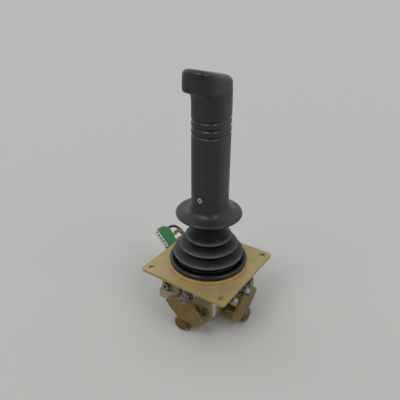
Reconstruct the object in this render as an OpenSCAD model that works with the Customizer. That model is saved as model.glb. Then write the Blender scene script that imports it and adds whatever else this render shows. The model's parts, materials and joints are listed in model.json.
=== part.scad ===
// Two-axis hand controller: a moulded grip on a gimbal under a square mounting plate.
// +Y is forward, towards the lip of the grip. +X is the operator's right. +Z is up.
// The origin is the centre of the mounting plate's top face. All sizes are in millimetres.

/* [Mounting plate] */
// Side of the square mounting plate
plate_side = 90; // [88:1:104]
// Thickness of the mounting plate
plate_t = 3; // [3:0.5:4]
// Radius of the plate's corners
plate_corner_r = 2.5; // [1:0.5:5]
// Distance between the fixing holes along a side
hole_pitch = 76; // [74:1:78]
// Diameter of the fixing holes
hole_d = 5.5; // [4.5:0.1:6.5]
// Diameter of the opening that the stick passes through
opening_d = 50; // [44:1:54]

/* [Bellows] */
// Outer radius of the bellows at the plate
bellows_r = 36.6; // [36:0.1:37]
// Height of the bellows
bellows_h = 44; // [42:1:45]
// Width of the raised ring that the bellows stands on
ring_w = 5.5; // [5:0.1:7]
// Height of that ring
ring_h = 3.4; // [3:0.1:3.8]

/* [Grip] */
// Height of the middle of the hand rest above the plate
rest_z = 54.5; // [54:0.1:57]
// Radius of the hand rest
rest_r = 30; // [27:0.1:32]
// Fore-and-aft size of the grip
grip_depth = 34; // [33.6:0.1:38]
// Sideways size of the grip
grip_width = 29.2; // [29:0.1:33]
// Height of the underside of the grip's lip above the plate
lip_z = 167; // [160:1:175]
// Reach of the lip in front of the stick's axis
lip_reach = 27; // [24:0.5:28]
// Height of the front of the head's top above the plate
head_top_z = 185.4; // [183:0.2:190]
// Number of grip grooves
groove_count = 3; // [1:1:4]
// Height of the lowest groove above the plate
groove_z = 129; // [115:1:135]
// Distance between grooves
groove_pitch = 6.3; // [5:0.1:8]
// Depth of a groove
groove_deep = 0.9; // [0.4:0.1:1.4]

/* [Stick and gimbal] */
// Depth of the gimbal's centre below the plate's top face
pivot_depth = 44.5; // [44:0.5:45]
// Diameter of the stick
stick_d = 10; // [8:0.5:10]
// Diameter of the gimbal shafts
shaft_d = 6; // [5:0.5:6]
// Radius of the brake disc on a shaft
disc_r = 6.9; // [6:0.1:7]
// Thickness of the brake disc
disc_t = 7; // [5:0.5:8]
// Distance from the gimbal's centre to the front of a brake disc
disc_face = 45.5; // [45:0.5:47]

/* [Housing and brackets] */
// Outer side of the gimbal housing
housing_side = 35; // [35:0.5:36]
// Wall thickness of the gimbal housing
housing_wall = 3; // [2.5:0.5:3]
// Depth of the housing's lower end below the plate's top face
housing_depth = 51; // [50:0.5:52]
// Width of a bracket on the potentiometer sides
bracket_w = 29; // [27:0.5:30]
// Sheet thickness of a bracket
bracket_t = 2.5; // [2:0.1:3]
// Depth of a bracket's lower face below the plate's top face
bracket_depth = 52.5; // [52:0.5:54]
// Reach of the front bracket's lower flange from the gimbal's centre
flange_reach = 41.5; // [38:0.5:42]

/* [Brake levers] */
// Thickness of a brake lever
lever_t = 3.5; // [3:0.1:4]
// Diameter of the stud that holds a brake lever against its spacer
lever_pin_d = 5; // [4:0.5:5]

/* [Wiring] */
// Length of the connector board
board_len = 54; // [52:1:56]
// Width of the connector board
board_w = 16; // [14:1:17]
// Thickness of the connector board
board_t = 1.6; // [1:0.1:2]

/* [Hidden] */

$fn = 96;
ROUND = 24;            // steps round a small blended shape
EPS = 0.01;            // overlap that makes cuts run through
FIT = 0.02;            // gap between pieces fixed to each other
RUN = 0.05;            // radial gap of a running fit

pivot_z = -pivot_depth;
plate_under = -plate_t;
housing_half = housing_side / 2;
housing_in = housing_half - housing_wall;
wall_out = housing_half + bracket_t;
shaft_r = shaft_d / 2;
stick_r = stick_d / 2;
bush_r = shaft_r + 1.5;

// Gimbal pieces, measured from the gimbal's centre
hub_half = [stick_r + 0.5, stick_r - 0.2];
hub_up = 7;
hub_down = 5;
frame_in = [hub_half[0] + 1.7, hub_half[1] + 0.6];
frame_out = [10.6, 8.6];
frame_half_h = 3.6;
pin_r = 2;
bail_arm_in = 10.3;
bail_arm_out = 12.6;
bail_arm_half = 5.5;
bail_arm_down = 5.5;
bail_low = 16;
bail_t = 2.4;
bail_half = 8.5;
bail_slot_half = 9.6;
bail_slot_gap = 0.25;

// Screws
m4_r = 2;
m4_head_r = 3.5;
m4_head_h = 4;
m4_key_r = 1.75;
front_wall_screws = [[-11.5, -42.5], [10, -42.5]];
left_wall_screws = [[10, -28], [10, -42.5]];
pot_wall_screws = [[-10, -14], [10, -14], [-10, -29], [10, -29]];
m3_r = 1.5;
m3_head_r = 2.75;
m3_head_h = 3;
m3_key_r = 1.25;
m3_bite = 2;
plate_screw_x = 5.5;
plate_screw_y = [23.5, 30.5];
top_flange_reach = 36;
board_screw_r = 1.25;
board_screw_head_r = 2.2;
board_screw_head_h = 1.8;
board_screw_key_r = 0.9;

// Brackets on the lever sides: half width of their near side at the wall and at the tip
front_near = housing_half;
front_tip = 11.5;
left_near = 9.5;
left_tip = 12;
left_flange_reach = flange_reach - 4;
flange_step = 5;

// Brake lever outline, measured from the centre of its disc
lever_front = disc_face;
lever_back = disc_face - lever_t;
lever_stud = [-6, 34.2];
lever_pivot = [11, 20.6];
lever_rest_angle = 12.7;
contact = disc_r + FIT;
lever_pin_r = lever_pin_d / 2;
lever_slot_r = lever_pin_r + 0.9;
lever_pivot_r = 1.75;
lever_pivot_in = 2.5;
lever_spacer_r = 4;
lever_nut_t = 4.5;
lever_nut_r = 4.1;
spring_r = 5.2;
spring_wire_r = 0.6;
spring_turns = 3;
spring_from = top_flange_reach + 0.9;
spring_pitch = 1.3;

// Anchor blocks, measured from the plate's centre
block_from = 7.5;
left_block_from = -3.5;
front_block_to = 27;
left_block_to = 17;
block_z = [-27, -18];
block_y = [33, 41.5];
block_ear_t = 4;
block_ear_top = -7.2;
front_anchor_x = 20;
left_anchor_x = 12;
anchor_z = -12.5;
block_screw_head_h = 5;
block_spacer_r = 4;
anchor_lug = [4.5, -18, -8.5];

// Grip
grip_front = grip_depth / 2 - 1.6;
grip_rear = grip_depth / 2 + 1.6;
head_rear = grip_rear - 0.9;
rest_under = rest_z - 1.3;
sleeve_r = 7;
sleeve_h = 50;
set_screw_z = 72;
set_screw_r = 2.5;
collar_r = 14.5;
collar_neck_r = 9;
collar_z = [40, 45];
stick_top = 150;

// Connector board
board_corner = [88, -28, -17];
board_turn = 149;
board_tilt = 25;
board_top = board_t + FIT;
post_r = 2.4;
post_at = [[board_len - 3.5, 5], [board_len - 3.5, 13]];
header_from = 2;
header_w = 3.8;
header_h = 3;
header_pitch = 6.5;
plug_at = [28, 14.5];
plug_size = [5.5, 6.5, 4.2];
lug_y = wall_out + 7.3;
lug_z = pivot_z + 12.5;
lug_xs = [-5, 0, 5];

BRASS = [0.42, 0.34, 0.20];
ZINC = [0.62, 0.57, 0.46];
STEEL = [0.62, 0.62, 0.60];
RUBBER = [0.12, 0.12, 0.12];

// ---------- Shapes that repeat ----------

// Maps the front of the controller onto its left side, and the rear onto the right
module to_left() {
    mirror([1, 1, 0]) children();
}

// Repeats a piece of the front on the left side, as its mirror image
module on_lever_sides() {
    children();
    to_left() children();
}

// Repeats a piece of the front on the rear and right sides
module on_pot_sides() {
    rotate([0, 0, 180]) on_lever_sides() children();
}

module on_sides() {
    on_lever_sides() children();
    on_pot_sides() children();
}

// Stands a piece along +Y: its own Z runs forward from y, centred at x and z
module along_y(x, y, z) {
    translate([x, y, z]) rotate([-90, 0, 0]) children();
}

module tube(r_out, r_in, h) {
    difference() {
        cylinder(r = r_out, h = h);
        translate([0, 0, -1]) cylinder(r = r_in, h = h + 2);
    }
}

// Socket-head screw, its head's seat at z = 0 and its shank down -Z
module socket_screw(r, length, head_r, head_h, key_r) {
    difference() {
        union() {
            cylinder(r = head_r, h = head_h);
            translate([0, 0, -length]) cylinder(r = r, h = length + EPS);
        }
        translate([0, 0, head_h * 0.4]) cylinder(r = key_r, h = head_h, $fn = 6);
    }
}

// Closed solid through rings of points that all have the same count
module loft(rings) {
    n = len(rings[0]);
    m = len(rings);
    points = [for (ring = rings) each ring];
    sides = [
        for (i = [0 : m - 2], j = [0 : n - 1])
            each [
                [i * n + j, i * n + (j + 1) % n, (i + 1) * n + (j + 1) % n],
                [i * n + j, (i + 1) * n + (j + 1) % n, (i + 1) * n + j]
            ]
    ];
    low = [for (j = [n - 1 : -1 : 0]) j];
    high = [for (j = [0 : n - 1]) (m - 1) * n + j];
    polyhedron(points = points, faces = concat([low], [for (f = sides) [f[0], f[1], f[2]]], [high]));
}

// ---------- Mounting plate and bellows ----------

module rounded_square(side, r) {
    half = side / 2 - r;
    union() {
        square([side, 2 * half], center = true);
        square([2 * half, side], center = true);
        for (x = [-half, half], y = [-half, half]) translate([x, y]) circle(r = r);
    }
}

module mounting_plate() {
    color([0.55, 0.46, 0.29]) difference() {
        translate([0, 0, plate_under]) linear_extrude(plate_t) difference() {
            rounded_square(plate_side, plate_corner_r);
            circle(d = opening_d);
            for (x = [-1, 1], y = [-1, 1])
                translate([x, y] * hole_pitch / 2) circle(d = hole_d);
        }
        on_sides() for (y = plate_screw_y)
            translate([plate_screw_x, y, plate_under - 1]) cylinder(r = m3_r + FIT, h = m3_bite + 1.3);
    }
}

module bellows_ring() {
    outer = bellows_r + 0.3;
    color([0.60, 0.48, 0.26]) tube(outer, outer - ring_w, ring_h);
}

// Ridges of the bellows from the lowest up: [radius, height]
function bellows_ridges() = [
    for (i = [0 : 2]) [bellows_r - 4.2 - 5.45 * i, bellows_h * (0.377 + 0.179 * i)]
];

// Foot bead, then three ridges, each undercut below and coned above; a hollow shell
module bellows() {
    ridges = bellows_ridges();
    wall = 1.7;
    bead_r = 2;
    bead_z = ring_h + FIT + bead_r;
    outside = concat(
        [
            for (a = [-90 : 15 : 90])
                [bellows_r - bead_r + bead_r * cos(a), bead_z + bead_r * sin(a)]
        ],
        [[bellows_r - 6.2, bead_z + 3]],
        [
            for (i = [0 : 2])
                let (r = ridges[i][0], z = ridges[i][1])
                each [[r - 3, z - 4.6], [r - 0.3, z - 1.4], [r, z - 0.4], [r - 0.5, z + 0.5]]
        ],
        [[15.2, bellows_h - 4], [14.2, bellows_h]]
    );
    inside = concat(
        [[collar_neck_r + FIT, bellows_h], [collar_neck_r + FIT, bellows_h - 4]],
        [
            for (i = [2 : -1 : 0])
                let (r = ridges[i][0] - wall, z = ridges[i][1] - 0.8)
                each [[r - 0.4, z - 0.4], [r - 2.6, z - 4]]
        ],
        [[bellows_r - 6.2 - wall, bead_z + 1], [bellows_r - 5, ring_h + FIT]]
    );
    color(RUBBER) rotate_extrude() polygon(concat(outside, inside));
}

module bellows_collar() {
    color([0.17, 0.18, 0.18]) rotate_extrude() polygon([
        [stick_r + FIT, collar_z[0] - 1], [collar_neck_r, collar_z[0] - 1],
        [collar_neck_r, collar_z[1]], [collar_r - 0.8, collar_z[1]],
        [collar_r, collar_z[1] + 0.8], [collar_r, rest_under - FIT],
        [stick_r + FIT, rest_under - FIT]
    ]);
}

// ---------- Housing and brackets ----------

module gimbal_housing() {
    color([0.66, 0.65, 0.60]) difference() {
        translate([0, 0, -housing_depth])
            linear_extrude(housing_depth - plate_t) difference() {
                rounded_square(housing_side, 3.5);
                square(2 * housing_in, center = true);
            }
        on_sides() along_y(0, housing_in - 1, pivot_z)
            cylinder(r = bush_r + FIT, h = housing_wall + 2);
        wall_holes(housing_in, housing_wall, front_wall_screws);
        to_left() wall_holes(housing_in, housing_wall, left_wall_screws);
        on_pot_sides() wall_holes(housing_in, housing_wall, pot_wall_screws);
    }
}

// Holes for the wall screws at spots, through a front wall that starts at y
module wall_holes(y, thickness, spots) {
    for (spot = spots)
        along_y(spot[0], y - 1, spot[1]) cylinder(r = m4_r + FIT, h = thickness + 2);
}

// Wall and upper flange of a front bracket between two x; low is the wall's lower edge
module bracket_sheet(low, x_from, x_to) {
    width = x_to - x_from;
    translate([x_from, housing_half, low]) cube([width, bracket_t, plate_under - low]);
    translate([x_from, housing_half, plate_under - bracket_t])
        cube([width, top_flange_reach - housing_half, bracket_t]);
}

// Holes in a front bracket for the shaft's bush, the wall screws and the plate screws
module bracket_holes(spots) {
    along_y(0, housing_half - 1, pivot_z) cylinder(r = bush_r + FIT, h = bracket_t + 2);
    wall_holes(housing_half, bracket_t, spots);
    for (y = plate_screw_y)
        translate([plate_screw_x, y, plate_under - bracket_t - 1])
            cylinder(r = m3_r + FIT, h = bracket_t + 2);
}

// Front bracket with a lower flange, notched for the disc, and a lug for the anchor screw
module lever_bracket(near, tip, reach, spots, anchor_x) {
    half = bracket_w / 2;
    notch = disc_r + 0.6;
    color(ZINC) difference() {
        union() {
            bracket_sheet(-bracket_depth, -near, half);
            translate([0, 0, -bracket_depth]) linear_extrude(bracket_t) polygon([
                [-near, housing_half], [half, housing_half], [half, reach - flange_step],
                [0, reach - flange_step], [0, reach], [-tip, reach]
            ]);
            translate([half - EPS, housing_half, anchor_lug[1]])
                cube([anchor_x + anchor_lug[0] - half, bracket_t, anchor_lug[2] - anchor_lug[1]]);
        }
        bracket_holes(spots);
        along_y(lever_stud[0], housing_half - 1, pivot_z + lever_stud[1])
            cylinder(r = lever_pin_r + FIT, h = bracket_t + 2);
        along_y(anchor_x, housing_half - 1, anchor_z)
            cylinder(r = m4_r + FIT, h = bracket_t + 2);
        translate([-notch, disc_face - disc_t - 0.5, -bracket_depth - 1])
            cube([2 * notch, reach, bracket_t + 2]);
    }
}

module front_bracket() {
    lever_bracket(front_near, front_tip, flange_reach, front_wall_screws, front_anchor_x);
}

module left_bracket() {
    to_left() lever_bracket(
        left_near, left_tip, left_flange_reach, left_wall_screws, left_anchor_x
    );
}

module rear_bracket() {
    half = bracket_w / 2;
    color(ZINC) rotate([0, 0, 180]) difference() {
        bracket_sheet(-housing_depth, -half, half);
        bracket_holes(pot_wall_screws);
    }
}

module right_bracket() {
    to_left() rear_bracket();
}

module wall_screws(spots) {
    for (spot = spots)
        along_y(spot[0], wall_out, spot[1])
            socket_screw(m4_r, bracket_t + housing_wall, m4_head_r, m4_head_h, m4_key_r);
}

module housing_screws() {
    color(STEEL) {
        wall_screws(front_wall_screws);
        to_left() wall_screws(left_wall_screws);
        on_pot_sides() wall_screws(pot_wall_screws);
    }
}

module plate_screws() {
    color(STEEL) on_sides() for (y = plate_screw_y)
        translate([plate_screw_x, y, plate_under - bracket_t]) rotate([180, 0, 0])
            socket_screw(m3_r, bracket_t + m3_bite, m3_head_r, m3_head_h, m3_key_r);
}

// Flanged bush that carries a shaft in the front wall
module front_bush() {
    color([0.66, 0.54, 0.30]) along_y(0, housing_in, pivot_z) difference() {
        union() {
            cylinder(r = bush_r, h = wall_out - housing_in);
            translate([0, 0, wall_out - housing_in]) cylinder(r = bush_r + 0.8, h = 1.5);
        }
        translate([0, 0, -1]) cylinder(r = shaft_r + RUN, h = 20);
    }
}

module left_bush() {
    to_left() front_bush();
}

// ---------- Potentiometers ----------

// Potentiometer on the rear wall; its threaded neck is the bearing of the shaft
module roll_pot() {
    body_h = 10;
    neck_h = wall_out - housing_in + 1.3;
    color([0.18, 0.20, 0.24]) rotate([0, 0, 180]) {
        along_y(0, wall_out - neck_h, pivot_z) difference() {
            union() {
                cylinder(r = bush_r, h = neck_h + 1);
                translate([0, 0, neck_h]) cylinder(r = 8, h = body_h);
                translate([0, 0, neck_h + body_h - EPS]) cylinder(r = 6.6, h = 1);
            }
            translate([0, 0, -1]) cylinder(r = shaft_r + RUN, h = neck_h + body_h - 1);
        }
        for (x = lug_xs)
            translate([x - 0.9, lug_y - 0.8, pivot_z + 6]) cube([1.8, 0.8, 7]);
    }
}

module pitch_pot() {
    to_left() roll_pot();
}

module rear_pot_nut() {
    rotate([0, 0, 180]) along_y(0, housing_in - 1.35, pivot_z) difference() {
        cylinder(r = 6.6, h = 1.3, $fn = 6);
        translate([0, 0, -1]) cylinder(r = bush_r + FIT, h = 4);
    }
}

module pot_nuts() {
    color(STEEL) {
        rear_pot_nut();
        to_left() rear_pot_nut();
    }
}

// ---------- Gimbal ----------

// Slotted bail that turns about Y and leaves the stick free to move along Y
module roll_bail() {
    color([0.70, 0.69, 0.64]) translate([0, 0, pivot_z]) difference() {
        union() {
            for (s = [-1, 1])
                translate([-bail_arm_half, s > 0 ? bail_arm_in : -bail_arm_out, -bail_arm_down])
                    cube([2 * bail_arm_half, bail_arm_out - bail_arm_in,
                          bail_arm_down + bail_low + EPS]);
            translate([-bail_half, -bail_arm_out, bail_low])
                cube([2 * bail_half, 2 * bail_arm_out, bail_t]);
        }
        bail_slot();
        rotate([-90, 0, 0]) translate([0, 0, -20]) cylinder(r = shaft_r + FIT, h = 40);
    }
}

module bail_slot() {
    slot_r = stick_r + bail_slot_gap;
    translate([-slot_r, -bail_slot_half, bail_low - 1])
        cube([2 * slot_r, 2 * bail_slot_half, bail_t + 2]);
}

module front_disc_shaft() {
    color(BRASS) along_y(0, bail_arm_in, pivot_z) difference() {
        union() {
            cylinder(r = shaft_r, h = disc_face - disc_t - bail_arm_in + 1);
            translate([0, 0, disc_face - disc_t - bail_arm_in]) disc_blank();
        }
        translate([0, 0, disc_face - bail_arm_in - 1.2])
            cylinder(r1 = 0.05, r2 = 1.25, h = 1.2 + EPS);
    }
}

// Turned disc with broken edges
module disc_blank() {
    edge = 0.4;
    rotate_extrude() polygon([
        [0, 0], [disc_r - edge, 0], [disc_r, edge], [disc_r, disc_t - edge],
        [disc_r - edge, disc_t], [0, disc_t]
    ]);
}

module roll_disc_shaft() {
    front_disc_shaft();
}

// The pitch shaft starts in the frame, which is narrower than the bail
module pitch_disc_shaft() {
    frame_end = bail_arm_in - frame_in[0] - 0.6;
    to_left() {
        front_disc_shaft();
        color(BRASS) along_y(0, bail_arm_in - frame_end, pivot_z)
            cylinder(r = shaft_r, h = frame_end + 1);
    }
}

module roll_pot_shaft() {
    color(STEEL) rotate([0, 0, 180]) along_y(0, bail_arm_in, pivot_z)
        cylinder(r = shaft_r, h = wall_out + 7 - bail_arm_in);
}

module pitch_pot_shaft() {
    start = frame_in[0] + 0.6;
    color(STEEL) rotate([0, 0, 180]) to_left() along_y(0, start, pivot_z)
        cylinder(r = shaft_r, h = wall_out + 7 - start);
}

// Frame round the hub; it turns about X
module pitch_frame() {
    color([0.58, 0.57, 0.54]) translate([0, 0, pivot_z]) difference() {
        cube([2 * frame_out[0], 2 * frame_out[1], 2 * frame_half_h], center = true);
        cube([2 * frame_in[0], 2 * frame_in[1], 4 * frame_half_h], center = true);
        rotate([0, 90, 0]) translate([0, 0, -20]) cylinder(r = shaft_r + FIT, h = 40);
        rotate([-90, 0, 0]) translate([0, 0, -20]) cylinder(r = pin_r + FIT, h = 40);
    }
}

module cross_pin() {
    color(STEEL) along_y(0, -frame_out[1], pivot_z) cylinder(r = pin_r, h = 2 * frame_out[1]);
}

module stick_hub() {
    color([0.55, 0.54, 0.50]) translate([0, 0, pivot_z]) difference() {
        translate([-hub_half[0], -hub_half[1], -hub_down])
            cube([2 * hub_half[0], 2 * hub_half[1], hub_down + hub_up]);
        rotate([-90, 0, 0]) translate([0, 0, -20]) cylinder(r = pin_r + RUN, h = 40);
        translate([0, 0, hub_up - 4]) cylinder(r = m4_r + 1 + FIT, h = 6);
    }
}

module stick_rod() {
    color(STEEL) {
        translate([0, 0, pivot_z + hub_up + FIT])
            cylinder(r = stick_r, h = stick_top - pivot_z - hub_up - FIT);
        translate([0, 0, pivot_z + hub_up - 3.9]) cylinder(r = m4_r + 1, h = 4.5);
    }
}

// ---------- Brake levers ----------

// Points of the lever, from the centre of its disc; the foot is tangent to the disc
function lever_points() =
    let (
        c = cos(lever_rest_angle),
        s = sin(lever_rest_angle),
        on_foot = function (t) [t * c - contact * s, t * s + contact * c]
    )
    [on_foot(-11.6), on_foot(5.5), [11.5, 13.8], [16.8, 20.2], [13.2, 24.8], [-6.6, 35.6],
     [-23.9, 12.4], [-21.6, 8.4]];

module front_lever() {
    color(BRASS) difference() {
        translate([0, lever_front, pivot_z]) rotate([90, 0, 0])
            linear_extrude(lever_t) polygon(lever_points());
        along_y(lever_stud[0], lever_back - 1, pivot_z + lever_stud[1])
            cylinder(r = lever_slot_r, h = lever_t + 2);
        along_y(lever_pivot[0], lever_back - 1, pivot_z + lever_pivot[1])
            cylinder(r = lever_pivot_r + RUN, h = lever_pivot_in + 1.1);
    }
}

module left_lever() {
    to_left() front_lever();
}

// Pin in the anchor block that the lever turns on
module front_lever_pivot() {
    start = block_y[0] + 1;
    color(STEEL) along_y(lever_pivot[0], start, pivot_z + lever_pivot[1])
        cylinder(r = lever_pivot_r, h = lever_back + lever_pivot_in - start);
}

module left_lever_pivot() {
    to_left() front_lever_pivot();
}

module front_lever_pin() {
    pin_end = lever_front + lever_nut_t + 1.1;
    color(STEEL) along_y(lever_stud[0], housing_half, pivot_z + lever_stud[1]) difference() {
        cylinder(r = lever_pin_r, h = pin_end - housing_half);
        translate([0, 0, pin_end - housing_half - 2]) cylinder(r = 1.35, h = 4, $fn = 6);
    }
}

module left_lever_pin() {
    to_left() front_lever_pin();
}

module front_lever_nut() {
    color(STEEL) along_y(lever_stud[0], lever_front + 0.15, pivot_z + lever_stud[1]) difference() {
        union() {
            cylinder(r = lever_nut_r + 0.3, h = 0.6);
            rotate([0, 0, 12]) cylinder(r = lever_nut_r, h = lever_nut_t, $fn = 6);
        }
        translate([0, 0, -1]) cylinder(r = lever_pin_r + FIT, h = lever_nut_t + 2);
    }
}

module left_lever_nut() {
    to_left() front_lever_nut();
}

module front_lever_spacer() {
    color([0.58, 0.47, 0.26]) along_y(lever_stud[0], wall_out, pivot_z + lever_stud[1])
        tube(lever_spacer_r, lever_pin_r + FIT, lever_back - 0.15 - wall_out);
}

module left_lever_spacer() {
    to_left() front_lever_spacer();
}

// Torsion spring round the spacer
module front_lever_spring() {
    steps = 20;
    sides = 8;
    rings = [
        for (i = [0 : spring_turns * steps])
            let (a = 360 * i / steps)
            [
                for (k = [0 : sides - 1])
                    let (
                        b = 360 * k / sides,
                        r = spring_r + spring_wire_r * cos(b)
                    )
                    [r * cos(a), r * sin(a), spring_pitch * a / 360 + spring_wire_r * sin(b)]
            ]
    ];
    color(STEEL) along_y(lever_stud[0], spring_from, pivot_z + lever_stud[1]) loft(rings);
}

module left_lever_spring() {
    to_left() front_lever_spring();
}

// L-shaped block beside the lever, clamped to the bracket by a long screw
module anchor_block(x_from, x_to, anchor_x) {
    color(ZINC) difference() {
        union() {
            translate([x_from, block_y[0], block_z[0]])
                cube([x_to - x_from, block_y[1] - block_y[0], block_z[1] - block_z[0]]);
            translate([block_from, block_y[0] - EPS, block_z[0]])
                cube([x_to - block_from, block_ear_t, block_ear_top - block_z[0]]);
        }
        along_y(anchor_x, block_y[0] - 1, anchor_z) cylinder(r = m4_r + FIT, h = block_ear_t + 2);
        along_y(lever_pivot[0], block_y[0] + 1 - EPS, pivot_z + lever_pivot[1])
            cylinder(r = lever_pivot_r + FIT, h = block_y[1]);
    }
}

module front_anchor_block() {
    anchor_block(block_from, front_block_to, front_anchor_x);
}

module left_anchor_block() {
    to_left() anchor_block(left_block_from, left_block_to, left_anchor_x);
}

module anchor_screw(anchor_x) {
    seat = block_y[0] + block_ear_t;
    color(STEEL) along_y(anchor_x, seat, anchor_z)
        socket_screw(m4_r, seat - housing_half, m4_head_r, block_screw_head_h, m4_key_r);
}

module front_anchor_screw() {
    anchor_screw(front_anchor_x);
}

module left_anchor_screw() {
    to_left() anchor_screw(left_anchor_x);
}

module anchor_spacer(anchor_x) {
    color(ZINC) along_y(anchor_x, wall_out, anchor_z)
        tube(block_spacer_r, m4_r + FIT, block_y[0] - EPS - wall_out);
}

module front_anchor_spacer() {
    anchor_spacer(front_anchor_x);
}

module left_anchor_spacer() {
    to_left() anchor_spacer(left_anchor_x);
}

// ---------- Grip ----------

// Rounded outline at one height: half width, front and rear reach, squareness and tilt
function outline(half_w, front, rear, square_n, z, tilt) = [
    for (i = [0 : 2 * ROUND - 1])
        let (
            a = 180 * i / ROUND,
            c = cos(a),
            s = sin(a),
            x = half_w * sign(c) * pow(abs(c), 2 / square_n),
            y = (front - rear) / 2 + (front + rear) / 2 * sign(s) * pow(abs(s), 2 / square_n)
        )
        [x, y, z + tilt * y]
];

function body_ring(z, inset) =
    outline(grip_width / 2 - inset, grip_front - inset, grip_rear - inset, 2.7, z, 0);

// Blend from the hand rest, share 0, to the body, share 1
function rest_ring(z, share) =
    let (r = rest_r * (1 - share))
    outline(
        r + grip_width / 2 * share, r + grip_front * share, r + grip_rear * share,
        2 + 0.7 * share, z, 0
    );

// Ring of the head: inset from its full outline, tilted as its top is
function head_ring(z, inset, tilt) =
    outline(grip_width / 2 - inset, lip_reach - inset, head_rear - inset, 3.3, z, tilt);

function groove_rings(z) = [
    body_ring(z - 1.5, 0), body_ring(z - 0.8, groove_deep * 0.8), body_ring(z, groove_deep),
    body_ring(z + 0.8, groove_deep * 0.8), body_ring(z + 1.5, 0)
];

function grip_rings() =
    let (
        top_tilt = 0.26,
        top_z = head_top_z - top_tilt * lip_reach
    )
    concat(
        [
            outline(collar_r, collar_r, collar_r, 2, rest_under, 0),
            outline(rest_r - 1, rest_r - 1, rest_r - 1, 2, rest_under + 0.3, 0),
            outline(rest_r, rest_r, rest_r, 2, rest_z, 0),
            rest_ring(rest_z + 1.0, 0.06), rest_ring(rest_z + 1.5, 0.30),
            rest_ring(rest_z + 2.2, 0.58), rest_ring(rest_z + 3.6, 0.78),
            rest_ring(rest_z + 6.2, 0.92), rest_ring(rest_z + 10.5, 1)
        ],
        [for (i = [0 : groove_count - 1]) each groove_rings(groove_z + i * groove_pitch)],
        [
            body_ring(lip_z - 3, 0),
            outline(grip_width / 2, grip_front + 0.6, grip_rear, 2.8, lip_z - 0.6, 0),
            outline(grip_width / 2, lip_reach - 1.6, head_rear + 0.4, 3, lip_z, 0),
            outline(grip_width / 2, lip_reach - 0.2, head_rear, 3.3, lip_z + 1.2, 0),
            head_ring(top_z - 7, 0, 0.12),
            head_ring(top_z - 4.0, 0.3, top_tilt),
            head_ring(top_z - 2.0, 1.5, top_tilt),
            head_ring(top_z - 0.7, 3.4, top_tilt),
            head_ring(top_z, 6.5, top_tilt),
            head_ring(top_z + 0.2, 11, top_tilt)
        ]
    );

module grip() {
    color([0.15, 0.17, 0.17]) difference() {
        loft(grip_rings());
        translate([0, 0, rest_under - 1]) cylinder(r = sleeve_r + RUN, h = sleeve_h + 1.2);
        translate([0, 0, rest_under]) cylinder(r = stick_r + RUN, h = stick_top - rest_under + 1);
        along_y(0, 0, set_screw_z) cylinder(r = set_screw_r + 0.5, h = grip_depth);
    }
}

module grip_sleeve() {
    color(STEEL) difference() {
        translate([0, 0, rest_under]) tube(sleeve_r, stick_r + FIT, sleeve_h);
        along_y(0, 0, set_screw_z) cylinder(r = set_screw_r + FIT, h = grip_depth);
    }
}

module grip_set_screw() {
    color([0.75, 0.74, 0.68]) along_y(0, stick_r + FIT, set_screw_z) difference() {
        cylinder(r = set_screw_r, h = grip_front - stick_r - 0.5);
        translate([0, 0, grip_front - stick_r - 3]) cylinder(r = 1.3, h = 4, $fn = 6);
    }
}

// ---------- Wiring ----------

// Board frame: X runs along the board towards the plate, Y across it and up
module on_board() {
    translate(board_corner) rotate([0, 0, board_turn]) rotate([board_tilt, 0, 0]) children();
}

module connector_board() {
    color([0.22, 0.48, 0.26]) on_board() linear_extrude(board_t) difference() {
        polygon([
            [0, 0], [board_len, 0], [board_len, board_w], [4, board_w], [-3.2, 11.5], [-4.5, 5.2]
        ]);
        for (at = post_at) translate(at) circle(r = board_screw_r + FIT);
    }
}

// Socket strip with a row of slots along the board's lower edge
module board_header() {
    slots = 5;
    slot = [5.3, 1.8, header_h];
    color([0.70, 0.72, 0.70]) on_board() difference() {
        translate([header_from, 0.3, board_top]) cube([slots * header_pitch, header_w, header_h]);
        for (i = [0 : slots - 1])
            translate([
                header_from + (header_pitch - slot[0]) / 2 + i * header_pitch,
                0.3 + (header_w - slot[1]) / 2, board_top + header_h - 2
            ])
                cube(slot);
    }
}

module board_plug() {
    color([0.85, 0.84, 0.78]) on_board() translate([plug_at[0], plug_at[1], board_top])
        cube(plug_size);
}

// Posts between the board and the plate, cut off level with the plate's underside
module board_posts() {
    color([0.20, 0.20, 0.21]) difference() {
        on_board() for (at = post_at) translate([at[0], at[1], board_top]) difference() {
            cylinder(r = post_r, h = 30);
            translate([0, 0, -1]) cylinder(r = board_screw_r + FIT, h = 4.2);
        }
        translate([0, -plate_side / 2, plate_under - FIT]) cube(plate_side);
    }
}

module board_screws() {
    color(STEEL) on_board() for (at = post_at) translate([at[0], at[1], 0]) rotate([180, 0, 0])
        socket_screw(
            board_screw_r, board_t + 3, board_screw_head_r, board_screw_head_h, board_screw_key_r
        );
}

// Point at t on a smooth curve through the middle of each span of points p
function along(p, t) =
    let (
        n = len(p) - 2,
        i = min(floor(t * n), n - 1),
        u = t * n - i,
        a = i == 0 ? p[0] : (p[i] + p[i + 1]) / 2,
        c = i == n - 1 ? p[n + 1] : (p[i + 1] + p[i + 2]) / 2
    )
    pow(1 - u, 2) * a + 2 * u * (1 - u) * p[i + 1] + u * u * c;

function unit(v) = v / norm(v);

// Wire that follows the curve of points p
module wire(p, r) {
    steps = 8 * (len(p) - 2);
    sides = 8;
    step = 0.02;
    rings = [
        for (i = [0 : steps])
            let (
                t = i / steps,
                here = along(p, t),
                ahead = unit(along(p, min(t + step, 1)) - along(p, max(t - step, 0))),
                side = unit(cross(ahead, [0.3, 0.2, 1])),
                up = cross(side, ahead)
            )
            [
                for (k = [0 : sides - 1])
                    let (b = 360 * k / sides)
                    here + r * (cos(b) * side + sin(b) * up)
            ]
    ];
    loft(rings);
}

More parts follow.
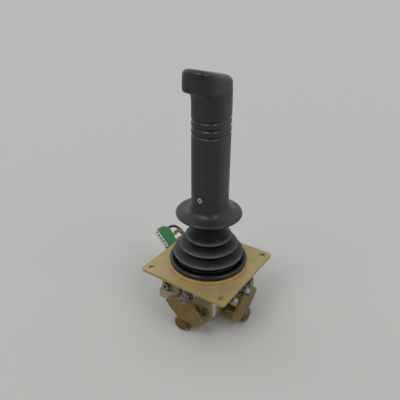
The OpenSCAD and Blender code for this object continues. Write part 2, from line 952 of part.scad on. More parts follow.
// Wires from the plug round the plate's side to the lugs of the rear potentiometer
module plug_wires() {
    r = 0.7;
    for (i = [0 : 2])
        color([[0.45, 0.28, 0.16], [0.72, 0.62, 0.48], [0.30, 0.16, 0.30]][i])
            wire([
                [57.5 - 0.8 * i, -25 - 1.4 * i, -6.4 + 0.5 * i],
                [65.4 - 0.4 * i, -29.3 - 1.2 * i, -5.5 + 0.5 * i],
                [57, -31.5 - 1.2 * i, -3.6 + 0.5 * i],
                [47.5, -32.5 - 0.4 * i, -13 + 1.6 * i], [33, -28, -24 + 1.6 * i],
                [6 - 2 * i, -33, lug_z - 1], [lug_xs[2 - i], -lug_y - r - 0.1, lug_z]
            ], r);
}

// Sheathed cable beyond the plug wires; it rises past the plate and its far end hangs free
module sheathed_cable() {
    color([0.08, 0.08, 0.08]) wire([
        [81, -41.5, -13], [74, -41.5, -6.8], [65, -41.5, -8], [57, -41.5, -14.5],
        [47, -41, -24], [34, -39.5, -33], [16, -38.5, -37.5], [10, -38.5, -46]
    ], 1.6);
}

// Wires from the board's underside to the lugs of the right-hand potentiometer
module pitch_pot_wires() {
    r = 0.7;
    for (i = [0 : 2])
        color([[0.80, 0.20, 0.15], [0.85, 0.85, 0.82], [0.15, 0.16, 0.18]][i])
            wire([
                [lug_y + r + 0.1, lug_xs[i], lug_z], [lug_y + 6, lug_xs[i], lug_z + 1],
                [41 + i, lug_xs[i] - 4, -26], [42 - 2 * i, -6 - 2 * i, -18.5 + i]
            ], r);
}

mounting_plate();
bellows_ring();
bellows();
gimbal_housing();
front_bracket();
left_bracket();
rear_bracket();
right_bracket();
housing_screws();
plate_screws();
front_bush();
left_bush();
roll_pot();
pitch_pot();
pot_nuts();
roll_bail();
roll_disc_shaft();
roll_pot_shaft();
pitch_frame();
pitch_disc_shaft();
pitch_pot_shaft();
cross_pin();
stick_hub();
stick_rod();
bellows_collar();
grip();
grip_sleeve();
grip_set_screw();
front_lever();
left_lever();
front_lever_pivot();
left_lever_pivot();
front_lever_pin();
left_lever_pin();
front_lever_nut();
left_lever_nut();
front_lever_spacer();
left_lever_spacer();
front_lever_spring();
left_lever_spring();
front_anchor_block();
left_anchor_block();
front_anchor_screw();
left_anchor_screw();
front_anchor_spacer();
left_anchor_spacer();
connector_board();
board_header();
board_plug();
board_posts();
board_screws();
plug_wires();
sheathed_cable();
pitch_pot_wires();
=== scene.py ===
"""Looks of the two-axis hand controller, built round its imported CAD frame. Metres; +Y forward, +Z up."""
import json
import math

import bmesh
import bpy
import numpy as np
from mathutils import Matrix, Vector


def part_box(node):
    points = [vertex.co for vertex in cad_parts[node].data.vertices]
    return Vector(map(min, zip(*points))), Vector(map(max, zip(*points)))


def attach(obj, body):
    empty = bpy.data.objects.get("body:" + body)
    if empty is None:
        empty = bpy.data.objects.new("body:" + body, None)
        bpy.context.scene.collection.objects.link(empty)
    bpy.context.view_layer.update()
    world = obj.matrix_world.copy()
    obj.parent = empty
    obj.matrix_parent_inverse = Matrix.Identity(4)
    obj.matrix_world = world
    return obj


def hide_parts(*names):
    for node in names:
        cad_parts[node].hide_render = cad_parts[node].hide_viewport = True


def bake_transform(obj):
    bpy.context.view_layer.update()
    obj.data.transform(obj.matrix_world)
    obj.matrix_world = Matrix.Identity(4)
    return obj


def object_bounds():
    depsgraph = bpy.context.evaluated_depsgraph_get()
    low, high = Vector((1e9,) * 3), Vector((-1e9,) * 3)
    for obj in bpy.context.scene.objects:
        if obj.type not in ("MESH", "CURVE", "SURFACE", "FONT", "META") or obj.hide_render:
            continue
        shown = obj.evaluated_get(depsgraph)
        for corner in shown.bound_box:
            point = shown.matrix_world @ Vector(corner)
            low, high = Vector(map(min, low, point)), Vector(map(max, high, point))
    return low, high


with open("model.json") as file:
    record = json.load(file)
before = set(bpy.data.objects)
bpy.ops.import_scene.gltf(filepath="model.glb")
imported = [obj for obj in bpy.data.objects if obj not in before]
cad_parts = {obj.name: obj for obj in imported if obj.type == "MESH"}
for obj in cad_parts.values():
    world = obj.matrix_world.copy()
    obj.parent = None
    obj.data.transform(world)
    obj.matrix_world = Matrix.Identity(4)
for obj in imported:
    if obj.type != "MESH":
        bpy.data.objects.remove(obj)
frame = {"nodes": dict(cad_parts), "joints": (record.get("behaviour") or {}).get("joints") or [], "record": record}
cad_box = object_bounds()

MM = 0.001
BODY_OF = {
    node: body
    for body, nodes in frame["record"]["behaviour"]["bodies"].items()
    for node in nodes
}
SLOT_OF = {row["node"]: row["material_slot"] for row in frame["record"]["subparts"]}


# ---------- Materials ----------

class Shader:
    """A node material whose texture coordinates are the row frame at rest, in millimetres."""

    def __init__(self, name, colour, rough, metallic=0.0, specular=0.5):
        self.material = bpy.data.materials.new(name)
        self.material.use_nodes = True
        self.nodes = self.material.node_tree.nodes
        self.links = self.material.node_tree.links
        self.bsdf = self.nodes["Principled BSDF"]
        self.bsdf.inputs["Metallic"].default_value = metallic
        self.bsdf.inputs["Specular IOR Level"].default_value = specular
        coords = self.add("ShaderNodeTexCoord").outputs["Object"]
        self.place = self.stretched((1 / MM,) * 3, coords)
        self.colour = (*colour, 1)
        self.rough = rough
        self.height = None

    def add(self, kind, **settings):
        node = self.nodes.new(kind)
        for name, value in settings.items():
            setattr(node, name, value)
        return node

    def feed(self, socket, value):
        if isinstance(value, bpy.types.NodeSocket):
            self.links.new(value, socket)
        else:
            socket.default_value = value

    def math(self, operation, a, b):
        node = self.add("ShaderNodeMath", operation=operation)
        self.feed(node.inputs[0], a)
        self.feed(node.inputs[1], b)
        return node.outputs[0]

    def stretched(self, factors, vector=None):
        """The vector, or else the place, with each coordinate multiplied by its factor."""
        node = self.add("ShaderNodeVectorMath", operation="MULTIPLY")
        self.feed(node.inputs[0], vector or self.place)
        node.inputs[1].default_value = factors
        return node.outputs[0]

    def noise(self, size, detail=3.0, stretch=None, rough=0.55):
        """Noise with features of about size millimetres, from 0 to 1."""
        node = self.add("ShaderNodeTexNoise")
        self.feed(node.inputs["Vector"], self.stretched(stretch) if stretch else self.place)
        node.inputs["Scale"].default_value = 1 / size
        node.inputs["Detail"].default_value = detail
        node.inputs["Roughness"].default_value = rough
        return node.outputs["Fac"]

    def span(self, value, low, high, to_low=0.0, to_high=1.0):
        """Value from low..high mapped to to_low..to_high, clamped."""
        node = self.add("ShaderNodeMapRange")
        self.feed(node.inputs["Value"], value)
        for name, x in (("From Min", low), ("From Max", high), ("To Min", to_low), ("To Max", to_high)):
            node.inputs[name].default_value = x
        return node.outputs["Result"]

    def edges(self, radius, low=0.02, high=0.25):
        """1 along edges sharper than a bevel of that radius in millimetres, 0 on flats."""
        bevel = self.add("ShaderNodeBevel", samples=4)
        bevel.inputs["Radius"].default_value = radius * MM
        normal = self.add("ShaderNodeNewGeometry").outputs["Normal"]
        dot = self.add("ShaderNodeVectorMath", operation="DOT_PRODUCT")
        self.feed(dot.inputs[0], bevel.outputs[0])
        self.feed(dot.inputs[1], normal)
        return self.span(dot.outputs["Value"], 1 - low, 1 - high)

    def mix_colour(self, factor, other):
        """Mixes other over the colour so far."""
        node = self.add("ShaderNodeMix", data_type="RGBA")
        self.feed(node.inputs["Factor"], factor)
        self.feed(node.inputs[6], self.colour)
        self.feed(node.inputs[7], other if isinstance(other, bpy.types.NodeSocket) else (*other, 1))
        self.colour = node.outputs[2]

    def add_rough(self, value, low, high):
        """Adds low..high to the roughness as value goes from 0.3 to 0.7."""
        self.rough = self.math("ADD", self.rough, self.span(value, 0.3, 0.7, low, high))

    def add_height(self, value, amount):
        """Adds a relief of amount millimetres."""
        part = self.math("MULTIPLY", value, amount)
        self.height = part if self.height is None else self.math("ADD", self.height, part)

    def done(self):
        self.feed(self.bsdf.inputs["Base Color"], self.colour)
        self.feed(self.bsdf.inputs["Roughness"], self.rough)
        if self.height is not None:
            bump = self.add("ShaderNodeBump")
            bump.inputs["Strength"].default_value = 1.0
            bump.inputs["Distance"].default_value = MM
            self.feed(bump.inputs["Height"], self.height)
            self.feed(self.bsdf.inputs["Normal"], bump.outputs["Normal"])
        return self.material


def plated(name, colour, tint, rough, metallic, grain=0.012):
    """Chromate-passivated sheet: cloudy tint, fine grain, rubbed edges, small dark specks."""
    s = Shader(name, colour, rough, metallic)
    s.mix_colour(s.span(s.noise(14, 4), 0.38, 0.68), tint)
    s.mix_colour(s.span(s.noise(2.2, 5), 0.45, 0.75, 0.0, 0.35), [c * 0.72 for c in colour])
    s.mix_colour(s.span(s.noise(0.7, 2), 0.70, 0.78, 0.0, 0.45), [c * 0.35 for c in colour])
    s.mix_colour(s.math("MULTIPLY", s.edges(0.35), 0.35), [min(c * 1.7, 0.8) for c in colour])
    s.add_rough(s.noise(5, 4), -0.10, 0.12)
    s.add_height(s.noise(0.35, 3), grain)
    return s.done()


def steel(name, colour, rough, dirt=0.5):
    """Turned or ground steel: streaks round the piece, a little grime, bright edges."""
    s = Shader(name, colour, rough, 0.95)
    s.mix_colour(s.span(s.noise(1.6, 4), 0.42, 0.72, 0.0, dirt), [c * 0.35 for c in colour])
    s.mix_colour(s.math("MULTIPLY", s.edges(0.15), 0.5), [min(c * 1.5, 0.9) for c in colour])
    s.add_rough(s.noise(1.1, 4), -0.08, 0.16)
    s.add_height(s.noise(0.25, 2, stretch=(1, 1, 0.2)), 0.006)
    return s.done()


def brass(name, colour, dull, stretch, rough=0.42):
    """Sawn or turned brass gone brown: long scratches, cloudy tarnish, rubbed edges."""
    s = Shader(name, colour, rough, 0.75)
    s.mix_colour(s.span(s.noise(6, 5), 0.35, 0.70), dull)
    s.mix_colour(s.span(s.noise(1.2, 4, stretch), 0.50, 0.75, 0.0, 0.4), [c * 0.45 for c in dull])
    s.mix_colour(s.math("MULTIPLY", s.edges(0.3), 0.45), [min(c * 1.8, 0.8) for c in colour])
    s.add_rough(s.noise(3, 4), -0.08, 0.16)
    s.add_height(s.noise(0.3, 3, stretch), 0.010)
    return s.done()


def plastic(name, colour, rough, grain_size=0.4, grain=0.01, worn=1.6, specular=0.5, cloud=0.3):
    """Moulded plastic or insulation: fine texture, cloudy gloss, paler rubbed edges."""
    s = Shader(name, colour, rough, specular=specular)
    s.mix_colour(s.span(s.noise(9, 4), 0.40, 0.72, 0.0, cloud), [c * 1.5 for c in colour])
    s.mix_colour(s.math("MULTIPLY", s.edges(0.4), 0.4), [min(c * worn, 0.9) for c in colour])
    s.add_rough(s.noise(7, 4), -0.08, 0.12)
    s.add_height(s.noise(grain_size, 2), grain)
    return s.done()


def grip_plastic():
    """The grip's hard plastic: fine spark texture, polished by hands, dust in the low spots."""
    s = Shader("grip_plastic", (0.0085, 0.0115, 0.0110), 0.36, specular=0.50)
    s.bsdf.inputs["Sheen Weight"].default_value = 0.05
    s.bsdf.inputs["Sheen Roughness"].default_value = 0.30
    s.mix_colour(s.span(s.noise(16, 4), 0.42, 0.70, 0.0, 0.6), (0.013, 0.017, 0.016))
    s.mix_colour(s.span(s.noise(1.1, 4), 0.58, 0.80, 0.0, 0.5), (0.026, 0.030, 0.028))
    s.add_rough(s.noise(11, 4), -0.07, 0.10)
    s.add_height(s.noise(0.45, 2), 0.012)
    s.add_height(s.noise(6, 2), 0.05)
    return s.done()


def bellows_rubber():
    """Black rubber, glossiest on the foot bead.

    The attribute ridge is 1 on the rims of the folds, which are painted paler, partly as dust and partly as a
    painted highlight, and -1 deep in the grooves, which are painted darker as painted shade.
    """
    bead_top, bead_end = 7.8, 9.0
    s = Shader("bellows_rubber", (0.0040, 0.0042, 0.0048), 0.40)
    ridge = s.add("ShaderNodeAttribute", attribute_name="ridge").outputs["Fac"]
    rim = s.math("MAXIMUM", ridge, 0.0)
    # Paler colour on the fold rims: partly dust, partly a painted highlight of the crests.
    rim_dust_and_highlight = s.math("MULTIPLY", rim, s.span(s.noise(4, 4), 0.25, 0.65, 0.45, 1.0))
    split = s.add("ShaderNodeSeparateXYZ")
    s.feed(split.inputs[0], s.place)
    bead = s.span(split.outputs["Z"], bead_end, bead_top)
    s.mix_colour(s.span(s.noise(10, 5), 0.40, 0.70, 0.0, 0.5), (0.0075, 0.0078, 0.0084))
    s.mix_colour(rim_dust_and_highlight, (0.120, 0.121, 0.122))
    # Painted shade: deep in the grooves the colour is painted darker.
    s.mix_colour(s.span(ridge, 0.0, -1.0), (0.0030, 0.0030, 0.0031))
    s.rough = s.math("ADD", s.rough, s.math("MULTIPLY", rim, 0.10))
    s.rough = s.math("SUBTRACT", s.rough, s.math("MULTIPLY", bead, 0.16))
    s.add_rough(s.noise(3, 4), -0.05, 0.10)
    s.add_height(s.noise(0.5, 3), 0.012)
    # The specular is turned down deep in the grooves as painted shade, and up on the glossy bead.
    shine = s.math("ADD", s.span(ridge, -1.0, 0.0, 0.05, 0.20), s.math("MULTIPLY", bead, 0.30))
    s.feed(s.bsdf.inputs["Specular IOR Level"], shine)
    return s.done()


def solder_mask():
    """Green lacquered board: darker copper areas under the mask, fine gloss."""
    s = Shader("solder_mask", (0.012, 0.155, 0.022), 0.34, specular=0.22)
    cells = s.add("ShaderNodeTexVoronoi", feature="DISTANCE_TO_EDGE", distance="MANHATTAN")
    s.feed(cells.inputs["Vector"], s.place)
    cells.inputs["Scale"].default_value = 0.22
    copper = s.span(cells.outputs["Distance"], 0.05, 0.08)
    s.mix_colour(s.math("MULTIPLY", copper, 0.55), (0.008, 0.095, 0.015))
    s.mix_colour(s.span(s.noise(8, 3), 0.45, 0.70, 0.0, 0.4), (0.020, 0.190, 0.034))
    s.add_rough(s.noise(5, 3), -0.05, 0.10)
    s.add_height(copper, 0.03)
    return s.done()


def make_materials():
    yellow, cream = (0.43, 0.33, 0.14), (0.50, 0.44, 0.29)
    across, along_z = (0.15, 0.15, 2.0), (2.0, 2.0, 0.15)
    return {
        "plate": plated("plate_zinc", yellow, (0.36, 0.285, 0.125), 0.48, 0.40),
        "ring": plated("ring_zinc", (0.60, 0.43, 0.145), (0.50, 0.38, 0.155), 0.45, 0.40),
        "bracket": plated("bracket_zinc", cream, (0.40, 0.34, 0.20), 0.50, 0.20),
        "block": plated("block_zinc", (0.34, 0.295, 0.20), (0.27, 0.235, 0.15), 0.52, 0.20),
        "housing": plated("cast_alloy", (0.88, 0.86, 0.76), (0.80, 0.78, 0.68), 0.55, 0.05, 0.03),
        "screws": steel("screw_steel", (0.29, 0.28, 0.26), 0.34, 0.6),
        "steel": steel("ground_steel", (0.46, 0.46, 0.45), 0.30, 0.3),
        "gimbal": steel("machined_steel", (0.40, 0.40, 0.38), 0.40, 0.4),
        "bush": brass("bush_brass", (0.42, 0.29, 0.11), (0.28, 0.19, 0.08), across, 0.38),
        "disc": brass("disc_brass", (0.19, 0.125, 0.048), (0.125, 0.084, 0.034), across),
        "lever": brass("lever_brass", (0.275, 0.19, 0.070), (0.195, 0.138, 0.052), along_z, 0.46),
        "pot": plastic("pot_plastic", (0.020, 0.024, 0.034), 0.45),
        "collar": plastic("collar_plastic", (0.007, 0.008, 0.008), 0.40, specular=0.4),
        "grip": grip_plastic(),
        "bellows": bellows_rubber(),
        "board": solder_mask(),
        "set_screw": brass("set_screw_brass", (0.62, 0.54, 0.38), (0.50, 0.43, 0.30), (1, 1, 1), 0.36),
        "header": plastic("header_plastic", (0.42, 0.46, 0.42), 0.5, worn=1.3),
        "plug": plastic("plug_nylon", (0.62, 0.59, 0.50), 0.42, worn=1.2),
        "wires": plastic("wire_brown", (0.16, 0.085, 0.045), 0.42),
        "cable": plastic("cable_sheath", (0.010, 0.011, 0.010), 0.34),
    }


MATERIALS = make_materials()


# ---------- Pieces ----------

# Nodes that look different from the rest of their material slot.
LOOK_OF = {
    "grip_set_screw": "set_screw",
    "front_anchor_block": "block",
    "left_anchor_block": "block",
}
SHARP = math.radians(35)


def new_piece(name, bm, body, slot, node=None, materials=None):
    """A piece from a bmesh, smooth between its sharp edges, riding on a CAD body."""
    bmesh.ops.recalc_face_normals(bm, faces=bm.faces)
    mesh = bpy.data.meshes.new(name)
    bm.to_mesh(mesh)
    bm.free()
    mesh.shade_smooth()
    piece = bpy.data.objects.new(name, mesh)
    bpy.context.scene.collection.objects.link(piece)
    for material in materials or [MATERIALS[slot]]:
        mesh.materials.append(material)
    if body:
        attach(piece, body)
    if node:
        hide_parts(node)
    return piece


def bake(piece):
    """Applies the piece's modifiers to its mesh."""
    graph = bpy.context.evaluated_depsgraph_get()
    mesh = bpy.data.meshes.new_from_object(piece.evaluated_get(graph))
    old = piece.data
    piece.modifiers.clear()
    piece.data = mesh
    bpy.data.meshes.remove(old)


def sharpen(piece):
    """Splits the shading at sharp edges, and weights normals by face area."""
    piece.data.set_sharp_from_angle(angle=SHARP)
    weighted = piece.modifiers.new("weighted", "WEIGHTED_NORMAL")
    weighted.keep_sharp = True


def cad_bmesh(node):
    """A CAD node's mesh with its seams closed."""
    bm = bmesh.new()
    bm.from_mesh(frame["nodes"][node].data)
    bmesh.ops.remove_doubles(bm, verts=bm.verts, dist=2e-6)
    return bm


def finished(node, edge=0.3, second=None, where=None):
    """A CAD node with its edges broken by edge millimetres.

    Faces whose centre, in millimetres, passes where() get the second material.
    """
    bm = cad_bmesh(node)
    bmesh.ops.dissolve_limit(bm, angle_limit=math.radians(1), verts=bm.verts, edges=bm.edges)
    materials = [MATERIALS[LOOK_OF.get(node, SLOT_OF[node])]]
    if second:
        materials.append(second)
        for face in bm.faces:
            face.material_index = int(where(face.calc_center_median() / MM))
    piece = new_piece(node + "_piece", bm, BODY_OF[node], SLOT_OF[node], node, materials)
    bevel = piece.modifiers.new("edges", "BEVEL")
    bevel.width = edge * MM
    bevel.segments = 2
    bevel.limit_method = "ANGLE"
    bevel.angle_limit = SHARP
    bake(piece)
    sharpen(piece)
    return piece


def rounded(node):
    """A wire or spring from the CAD, smoothed."""
    piece = new_piece(node + "_piece", cad_bmesh(node), BODY_OF[node], SLOT_OF[node], node)
    subsurf = piece.modifiers.new("smooth", "SUBSURF")
    subsurf.levels = subsurf.render_levels = 1
    bake(piece)
    return piece


def loft(bm, rings, closed=False):
    """Quads through rings of equal point counts. The ends are capped, or joined to each other if closed."""
    rows = [[bm.verts.new(p) for p in ring] for ring in rings]
    count = len(rows[0])
    pairs = list(zip(rows, rows[1:]))
    if closed:
        pairs.append((rows[-1], rows[0]))
    else:
        bm.faces.new(list(reversed(rows[0])))
        bm.faces.new(rows[-1])
    for low, high in pairs:
        for i in range(count):
            j = (i + 1) % count
            bm.faces.new((low[i], low[j], high[j], high[i]))


def smooth(points, steps=4):
    """Catmull-Rom curve through points of any dimension."""
    p = np.array(points, float)
    p = np.vstack([2 * p[0] - p[1], p, 2 * p[-1] - p[-2]])
    out = []
    for a, b, c, d in zip(p, p[1:], p[2:], p[3:]):
        square, cube = 2 * a - 5 * b + 4 * c - d, 3 * b - a - 3 * c + d
        for t in np.arange(steps) / steps:
            out.append(0.5 * (2 * b + (c - a) * t + square * t * t + cube * t**3))
    return out + [p[-2]]


def circle(r, z, count):
    """A level ring of points, from millimetres to metres."""
    return [
        Vector((r * math.cos(a), r * math.sin(a), z)) * MM
        for a in (2 * math.pi * i / count for i in range(count))
    ]


def island_slots(piece, materials):
    """Gives each loose part of a mesh, in the order of their first vertex, its own material."""
    mesh = piece.data
    owner = list(range(len(mesh.vertices)))

    def root(i):
        while owner[i] != i:
            owner[i] = owner[owner[i]]
            i = owner[i]
        return i

    for edge in mesh.edges:
        a, b = root(edge.vertices[0]), root(edge.vertices[1])
        owner[max(a, b)] = min(a, b)
    order = sorted({root(i) for i in range(len(owner))})
    mesh.materials.clear()
    for material in materials:
        mesh.materials.append(material)
    for face in mesh.polygons:
        face.material_index = order.index(root(face.vertices[0])) % len(materials)


# ---------- Grip ----------

GRIP_POINTS = 72
OVAL, BODY_SQUARE, HEAD_SQUARE = 2, 2.7, 3.3
GROOVE_HEIGHTS = (129, 135.3, 141.6)
# Height from the groove's middle, and depth there.
GROOVE = [
    (-2.2, 0), (-1.45, 0), (-1.15, 0.22), (-0.8, 0.68), (0, 0.95), (0.8, 0.68), (1.15, 0.22), (1.45, 0),
]


def outline(half_w, front, rear, square, z, tilt):
    """The grip's outline at one height, in metres. It is an oval for square 2, and boxier above that."""
    ring = []
    for i in range(GRIP_POINTS):
        a = 2 * math.pi * i / GRIP_POINTS
        c, s = math.cos(a), math.sin(a)
        x = half_w * math.copysign(abs(c) ** (2 / square), c)
        y = (front - rear) / 2 + (front + rear) / 2 * math.copysign(abs(s) ** (2 / square), s)
        ring.append(Vector((x, y, z + tilt * y)) * MM)
    return ring


def grip():
    """The moulded grip from its bore, over the hand rest and the grooved body, to the lipped head."""
    low, high = (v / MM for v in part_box("grip"))
    under, rest_r = low.z, high.x
    rest = under + 1.3
    half_w, front, rear = 14.6, 15.4, 18.6
    lip_reach, head_rear, lip = 27.0, 17.7, 167.0
    overhang = lip_reach - front
    head_tilt, top = 0.26, 178.4
    rod_r, sleeve_r, collar_r = 5.05, 7.05, 14.6
    sleeve_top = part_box("grip_sleeve")[1].z / MM
    rod_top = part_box("stick_rod")[1].z / MM

    def plain(r, z):
        return [r, r, r, OVAL, z, 0]

    def blend(z, share):
        """From the round rest, share 0, to the body, share 1."""
        ends = zip((rest_r, rest_r, rest_r, OVAL), (half_w, front, rear, BODY_SQUARE))
        return [a + (b - a) * share for a, b in ends] + [z, 0]

    def body(z, inset=0.0):
        return [half_w - inset, front - inset, rear - inset, BODY_SQUARE, z, 0]

    def flare(z, more, square, back):
        """The body where it swells forward by more and pulls in by back at the rear."""
        return [half_w, front + more, rear - back, square, z, 0]

    def head(z, inset, tilt=head_tilt):
        return [half_w - inset, lip_reach - inset, head_rear - inset, HEAD_SQUARE, z, tilt]

    bore = [
        plain(rod_r, rod_top + 1), plain(rod_r, sleeve_top + 0.2),
        plain(sleeve_r, sleeve_top + 0.2), plain(sleeve_r, under + 0.7), plain(sleeve_r + 0.75, under),
    ]
    underside = [
        plain(collar_r, under), plain(collar_r + 0.3, under + 0.35),
        plain(26.6, under + 0.35), plain(26.9, under),
    ]
    rest_rim = [
        plain(28.6, under), plain(rest_r - 0.35, under + 0.35), plain(rest_r, under + 1.0),
        plain(rest_r - 0.15, under + 1.7), blend(rest + 0.9, 0.05),
    ]
    rest_top = [
        blend(rest + 1.25, 0.18), blend(rest + 1.6, 0.34), blend(rest + 2.3, 0.58), blend(rest + 3.7, 0.77),
        blend(rest + 6.4, 0.915), blend(rest + 10.5, 0.985), blend(rest + 16, 1),
    ]
    throat = [
        flare(lip - 14, 0, 2.7, 0), flare(lip - 10, 0.2, 2.7, 0.1), flare(lip - 7, 0.7, 2.75, 0.2),
        flare(lip - 4.6, 1.5, 2.8, 0.3), flare(lip - 2.8, 2.7, 2.85, 0.4), flare(lip - 1.7, 4.2, 2.9, 0.5),
    ]
    lip_edge = [
        flare(lip - 1.2, 5.9, 2.95, 0.55), flare(lip - 1.0, overhang - 3.4, 3.0, 0.6),
        flare(lip - 0.8, overhang - 1.8, 3.1, 0.7), flare(lip - 0.1, overhang - 0.5, 3.2, 0.8),
        flare(lip + 1.2, overhang, HEAD_SQUARE, 0.9),
    ]
    head_side = [head(lip + 2.3, 0, 0.03), head(lip + 3.9, 0, 0.09), head(lip + 6.0, 0.1, 0.175)]
    head_top = [
        head(top - 3.6, 0.35), head(top - 2.3, 1.1), head(top - 1.1, 2.3), head(top - 0.35, 4.2),
        head(top - 0.05, 6.8), head(top + 0.05, 10), head(top + 0.1, 14),
    ]

    rings = bore + underside + smooth(rest_rim, 3) + smooth(rest_top)
    rings += [body(z) for z in range(80, 121, 8)]
    rings += [body(z + step, depth) for z in GROOVE_HEIGHTS for step, depth in GROOVE]
    rings += [body(144.5), body(149)]
    rings += smooth(throat) + smooth(lip_edge, 3) + smooth(head_side, 3) + smooth(head_top, 3)
    bm = bmesh.new()
    loft(bm, [outline(*ring) for ring in rings])
    piece = new_piece("grip_shell", bm, None, "grip", "grip")
    cut_recess(piece, [(3.0, 2.0), (3.0, front - 0.5), (3.4, front), (4.2, front + 2.5)])
    piece.data.set_sharp_from_angle(angle=math.radians(38))
    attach(piece, "stick")


def cut_recess(piece, profile):
    """Cuts the set screw's recess, a hole along +Y with a profile of (radius, distance from the axis)."""
    screw_low, screw_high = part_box("grip_set_screw")
    lift = Matrix.Translation((0, 0, (screw_low.z + screw_high.z) / 2))
    turn = lift @ Matrix.Rotation(-math.pi / 2, 4, "X")
    bm = bmesh.new()
    loft(bm, [[turn @ p for p in circle(r, h, 40)] for r, h in profile])
    bmesh.ops.recalc_face_normals(bm, faces=bm.faces)
    mesh = bpy.data.meshes.new("recess")
    bm.to_mesh(mesh)
    bm.free()
    cutter = bpy.data.objects.new("recess", mesh)
    bpy.context.scene.collection.objects.link(cutter)
    cut = piece.modifiers.new("recess", "BOOLEAN")
    cut.object = cutter
    cut.solver = "EXACT"
    bake(piece)
    bpy.data.objects.remove(cutter)


# ---------- Bellows ----------

def revolved(name, outer, inner):
    """A closed shell of revolution between two profiles of (radius, height, ridge).
    """
    count = 96
    profile = smooth(outer, 5) + smooth(inner, 2)[::-1]
    bm = bmesh.new()
    loft(bm, [circle(r, z, count) for r, z, _ in profile], closed=True)
    piece = new_piece(name, bm, None, "bellows", "bellows")
    ridge = piece.data.attributes.new("ridge", "FLOAT", "POINT")
    ridge.data.foreach_set("value", [row[2] for row in profile for _ in range(count)])
    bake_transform(piece)


def bellows():
    """The rubber bellows, in two shells that meet in the valley under its second ridge.

    The shells are joined at the seam.
    """
    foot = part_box("bellows_ring")[1].z / MM + 0.02
    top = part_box("bellows")[1].z / MM
    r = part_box("bellows")[1].x / MM
    bead = r - 2

    def ridge(r, z):
        """The rim of a fold that stands out to radius r, from its undercut to the cone above it."""
        return [
            (r - 1.7, z - 2.5, -0.9), (r - 0.55, z - 1.5, -0.3), (r - 0.05, z - 0.6, 0.9),
            (r - 0.05, z + 0.2, 1), (r - 0.6, z + 0.75, 0.8), (r - 1.6, z + 1.2, 0.35),
        ]

    seam, seam_r = 19.2, 24.0
    lower = [
        (bead - 1.4, foot, 0), (bead + 0.9, foot, 0), (bead + 1.75, foot + 1.0, 0),
        (bead + 2, foot + 2.4, 0), (bead + 1.7, foot + 3.8, 0), (bead + 0.9, foot + 4.6, 0),
        (bead - 0.5, foot + 4.9, 0),
        (31.2, 7.8, -0.8), (29.4, 8.2, -1), (28.9, 9.4, -1), (29.3, 10.5, -1),
        *ridge(32.6, 14.2), (28.4, 16.6, 0.05), (25.6, 18.1, -0.2), (seam_r, seam, -0.8),
    ]
    upper = [
        (seam_r, seam, -0.8), (23.9, 20.0, -1), *ridge(27.1, 22.8), (23.2, 25.4, 0.05),
        (20.6, 26.7, -0.2), (19.2, 27.6, -0.8), (19.0, 28.4, -1), *ridge(21.3, 31.4),
        (19.0, 33.2, 0.0), (17.7, 35.0, -0.2),
        (17.0, 36.6, 0.1), (16.2, 38.0, -0.2), (15.6, 39.4, 0.1), (15.0, 40.8, -0.2),
        (14.7, 42.2, 0.0), (14.3, top - 0.8, 0.0), (13.7, top - 0.15, 0.0), (12.6, top, 0.0),
    ]
    under_lower = [
        (31.6, foot, 0), (30.2, 5.2, 0), (27.8, 6.8, 0), (27.2, 10.0, 0), (30.0, 13.2, 0),
        (26.2, 15.8, 0), (22.8, 18.0, 0),
    ]
    under_upper = [
        (22.8, 18.0, 0), (22.4, 20.6, 0), (24.9, 22.0, 0), (20.6, 24.6, 0), (17.6, 26.6, 0),
        (17.4, 28.8, 0), (19.3, 30.6, 0), (16.0, 33.8, 0), (12.8, 37.0, 0), (10.4, 39.6, 0),
        (9.2, 41.2, 0), (9.1, top - 0.1, 0),
    ]
    revolved("bellows_lower", lower, under_lower)
    revolved("bellows_upper", upper, under_upper)


# ---------- Other pieces ----------

WIRE_NODES = (
    "plug_wires", "sheathed_cable", "pitch_pot_wires", "front_lever_spring", "left_lever_spring",
)
PIVOT_Z = next(j["pos_m"][2] for j in frame["joints"] if j["name"] == "pitch") / MM
# Painted shade for the inside of the socket strip's slots.
PAINTED_SLOT_SHADE = plastic("painted_slot_shade", (0.30, 0.33, 0.30), 0.5)
WIRE_COLOURS = {
    "plug_wires": [(0.16, 0.085, 0.045), (0.42, 0.32, 0.20), (0.10, 0.035, 0.085)],
    "pitch_pot_wires": [(0.50, 0.05, 0.03), (0.60, 0.60, 0.56), (0.025, 0.03, 0.04)],
}


def pot(node):
    """A potentiometer: plastic body, metal neck towards the gimbal and metal solder lugs on top."""
    axis, sign = (0, 1) if node == "pitch_pot" else (1, -1)
    neck_end, lugs_from = 20.4, PIVOT_Z + 8.3

    def metal(c):
        return c[axis] * sign < neck_end or c.z > lugs_from

    finished(node, 0.25, MATERIALS["steel"], metal)


def header():
    """The socket strip: faces that lie inside its outer box, which are its slots', are painted darker grey as
    painted shade.
    """
    margin = 0.3 * MM
    mesh = finished("board_header", 0.12).data
    mesh.materials.append(PAINTED_SLOT_SHADE)
    up = max(mesh.polygons, key=lambda face: face.normal.z * face.area).normal.copy()
    length = Vector((0, 0, 1)).cross(up).normalized()
    axes = [up, length, up.cross(length)]
    spans = [[v.co.dot(axis) for v in mesh.vertices] for axis in axes]
    for face in mesh.polygons:
        inside = all(
            min(span) + margin < face.center.dot(axis) < max(span) - margin
            for axis, span in zip(axes, spans)
        )
        face.material_index = int(inside)


def wires():
    """Wires, cable and springs. Each loose wire of a bundle has its own colour."""
    for node in WIRE_NODES:
        piece = rounded(node)
        if node in WIRE_COLOURS:
            island_slots(piece, [
                plastic(f"{node}_{i}", colour, 0.40) for i, colour in enumerate(WIRE_COLOURS[node])
            ])


grip()
bellows()
wires()
pot("roll_pot")
pot("pitch_pot")
header()
DONE = {"grip", "bellows", "roll_pot", "pitch_pot", "board_header", *WIRE_NODES}
for name in frame["nodes"]:
    if name not in DONE:
        finished(name)


# ---------- Stage ----------

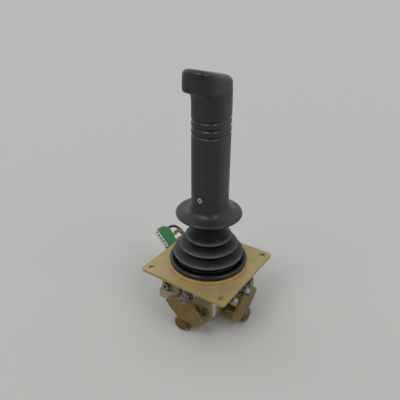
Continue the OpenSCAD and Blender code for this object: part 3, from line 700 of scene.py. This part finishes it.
def stage():
    """A sheet of pale paper under the object."""
    ground = Matrix.Translation((0, 0, cad_box[0].z))
    bm = bmesh.new()
    bmesh.ops.create_grid(bm, x_segments=1, y_segments=1, size=4, matrix=ground)
    mesh = bpy.data.meshes.new("floor")
    bm.to_mesh(mesh)
    bm.free()
    floor = bpy.data.objects.new("floor", mesh)
    bpy.context.scene.collection.objects.link(floor)
    shader = Shader("floor_paper", (0.495, 0.488, 0.472), 0.85, specular=0.2)
    shader.add_height(shader.noise(1.5, 3), 0.01)
    mesh.materials.append(shader.done())


CAMERA_SIDE = (-0.54, 0.84, 0.0)


def sun(name, place, power, softness):
    """Soft even light from the direction of place, as wide as softness degrees."""
    light = bpy.data.lights.new(name, "SUN")
    light.energy = power
    light.angle = math.radians(softness)
    lamp = bpy.data.objects.new(name, light)
    lamp.rotation_euler = Vector(place).to_track_quat("Z", "Y").to_euler()
    bpy.context.scene.collection.objects.link(lamp)


def lights():
    """Room light that is darker on the camera's side, two soft windows and a weak one from the side."""
    world = bpy.data.worlds.new("studio")
    world.use_nodes = True
    nodes, links = world.node_tree.nodes, world.node_tree.links
    towards = nodes.new("ShaderNodeVectorMath")
    towards.operation = "DOT_PRODUCT"
    links.new(nodes.new("ShaderNodeTexCoord").outputs["Generated"], towards.inputs[0])
    towards.inputs[1].default_value = CAMERA_SIDE
    ramp = nodes.new("ShaderNodeMapRange")
    links.new(towards.outputs["Value"], ramp.inputs["Value"])
    far, near = (-0.3, 0.78), (0.85, 0.25)
    for name, value in zip(("From Min", "To Min", "From Max", "To Max"), far + near):
        ramp.inputs[name].default_value = value
    background = nodes["Background"]
    background.inputs["Color"].default_value = (0.97, 0.985, 1.0, 1)
    links.new(ramp.outputs["Result"], background.inputs["Strength"])
    bpy.context.scene.world = world
    sun("window", (0.25, 0.75, 1.15), 0.85, 30)
    sun("far_window", (-0.95, 0.1, 0.95), 0.60, 34)
    sun("side_window", (1.0, -0.15, 0.45), 0.22, 40)


def camera():
    """The photograph's view: from the front left, above, at arm's length, aimed a little above the plate."""
    azimuth, elevation, distance = math.radians(212.794), math.radians(36.2145), 0.4346649
    tilt, pan, roll = -0.1343, -0.0179, -0.0201
    back = Vector((
        math.sin(azimuth) * math.cos(elevation),
        -math.cos(azimuth) * math.cos(elevation),
        math.sin(elevation),
    ))
    side = Vector((0, 0, 1)).cross(back).normalized()
    basis = Matrix((side, back.cross(side), back)).transposed()
    turn = (
        Matrix.Rotation(tilt, 3, "X") @ Matrix.Rotation(pan, 3, "Y") @ Matrix.Rotation(roll, 3, "Z")
    )
    data = bpy.data.cameras.new("camera")
    data.lens = 40.5
    data.sensor_width = 36
    data.clip_start = 0.01
    cam = bpy.data.objects.new("camera", data)
    cam.matrix_world = Matrix.Translation(back * distance) @ (basis @ turn.transposed()).to_4x4()
    bpy.context.scene.collection.objects.link(cam)
    bpy.context.scene.camera = cam


stage()
lights()
camera()
bpy.context.scene.view_settings.view_transform = "Standard"
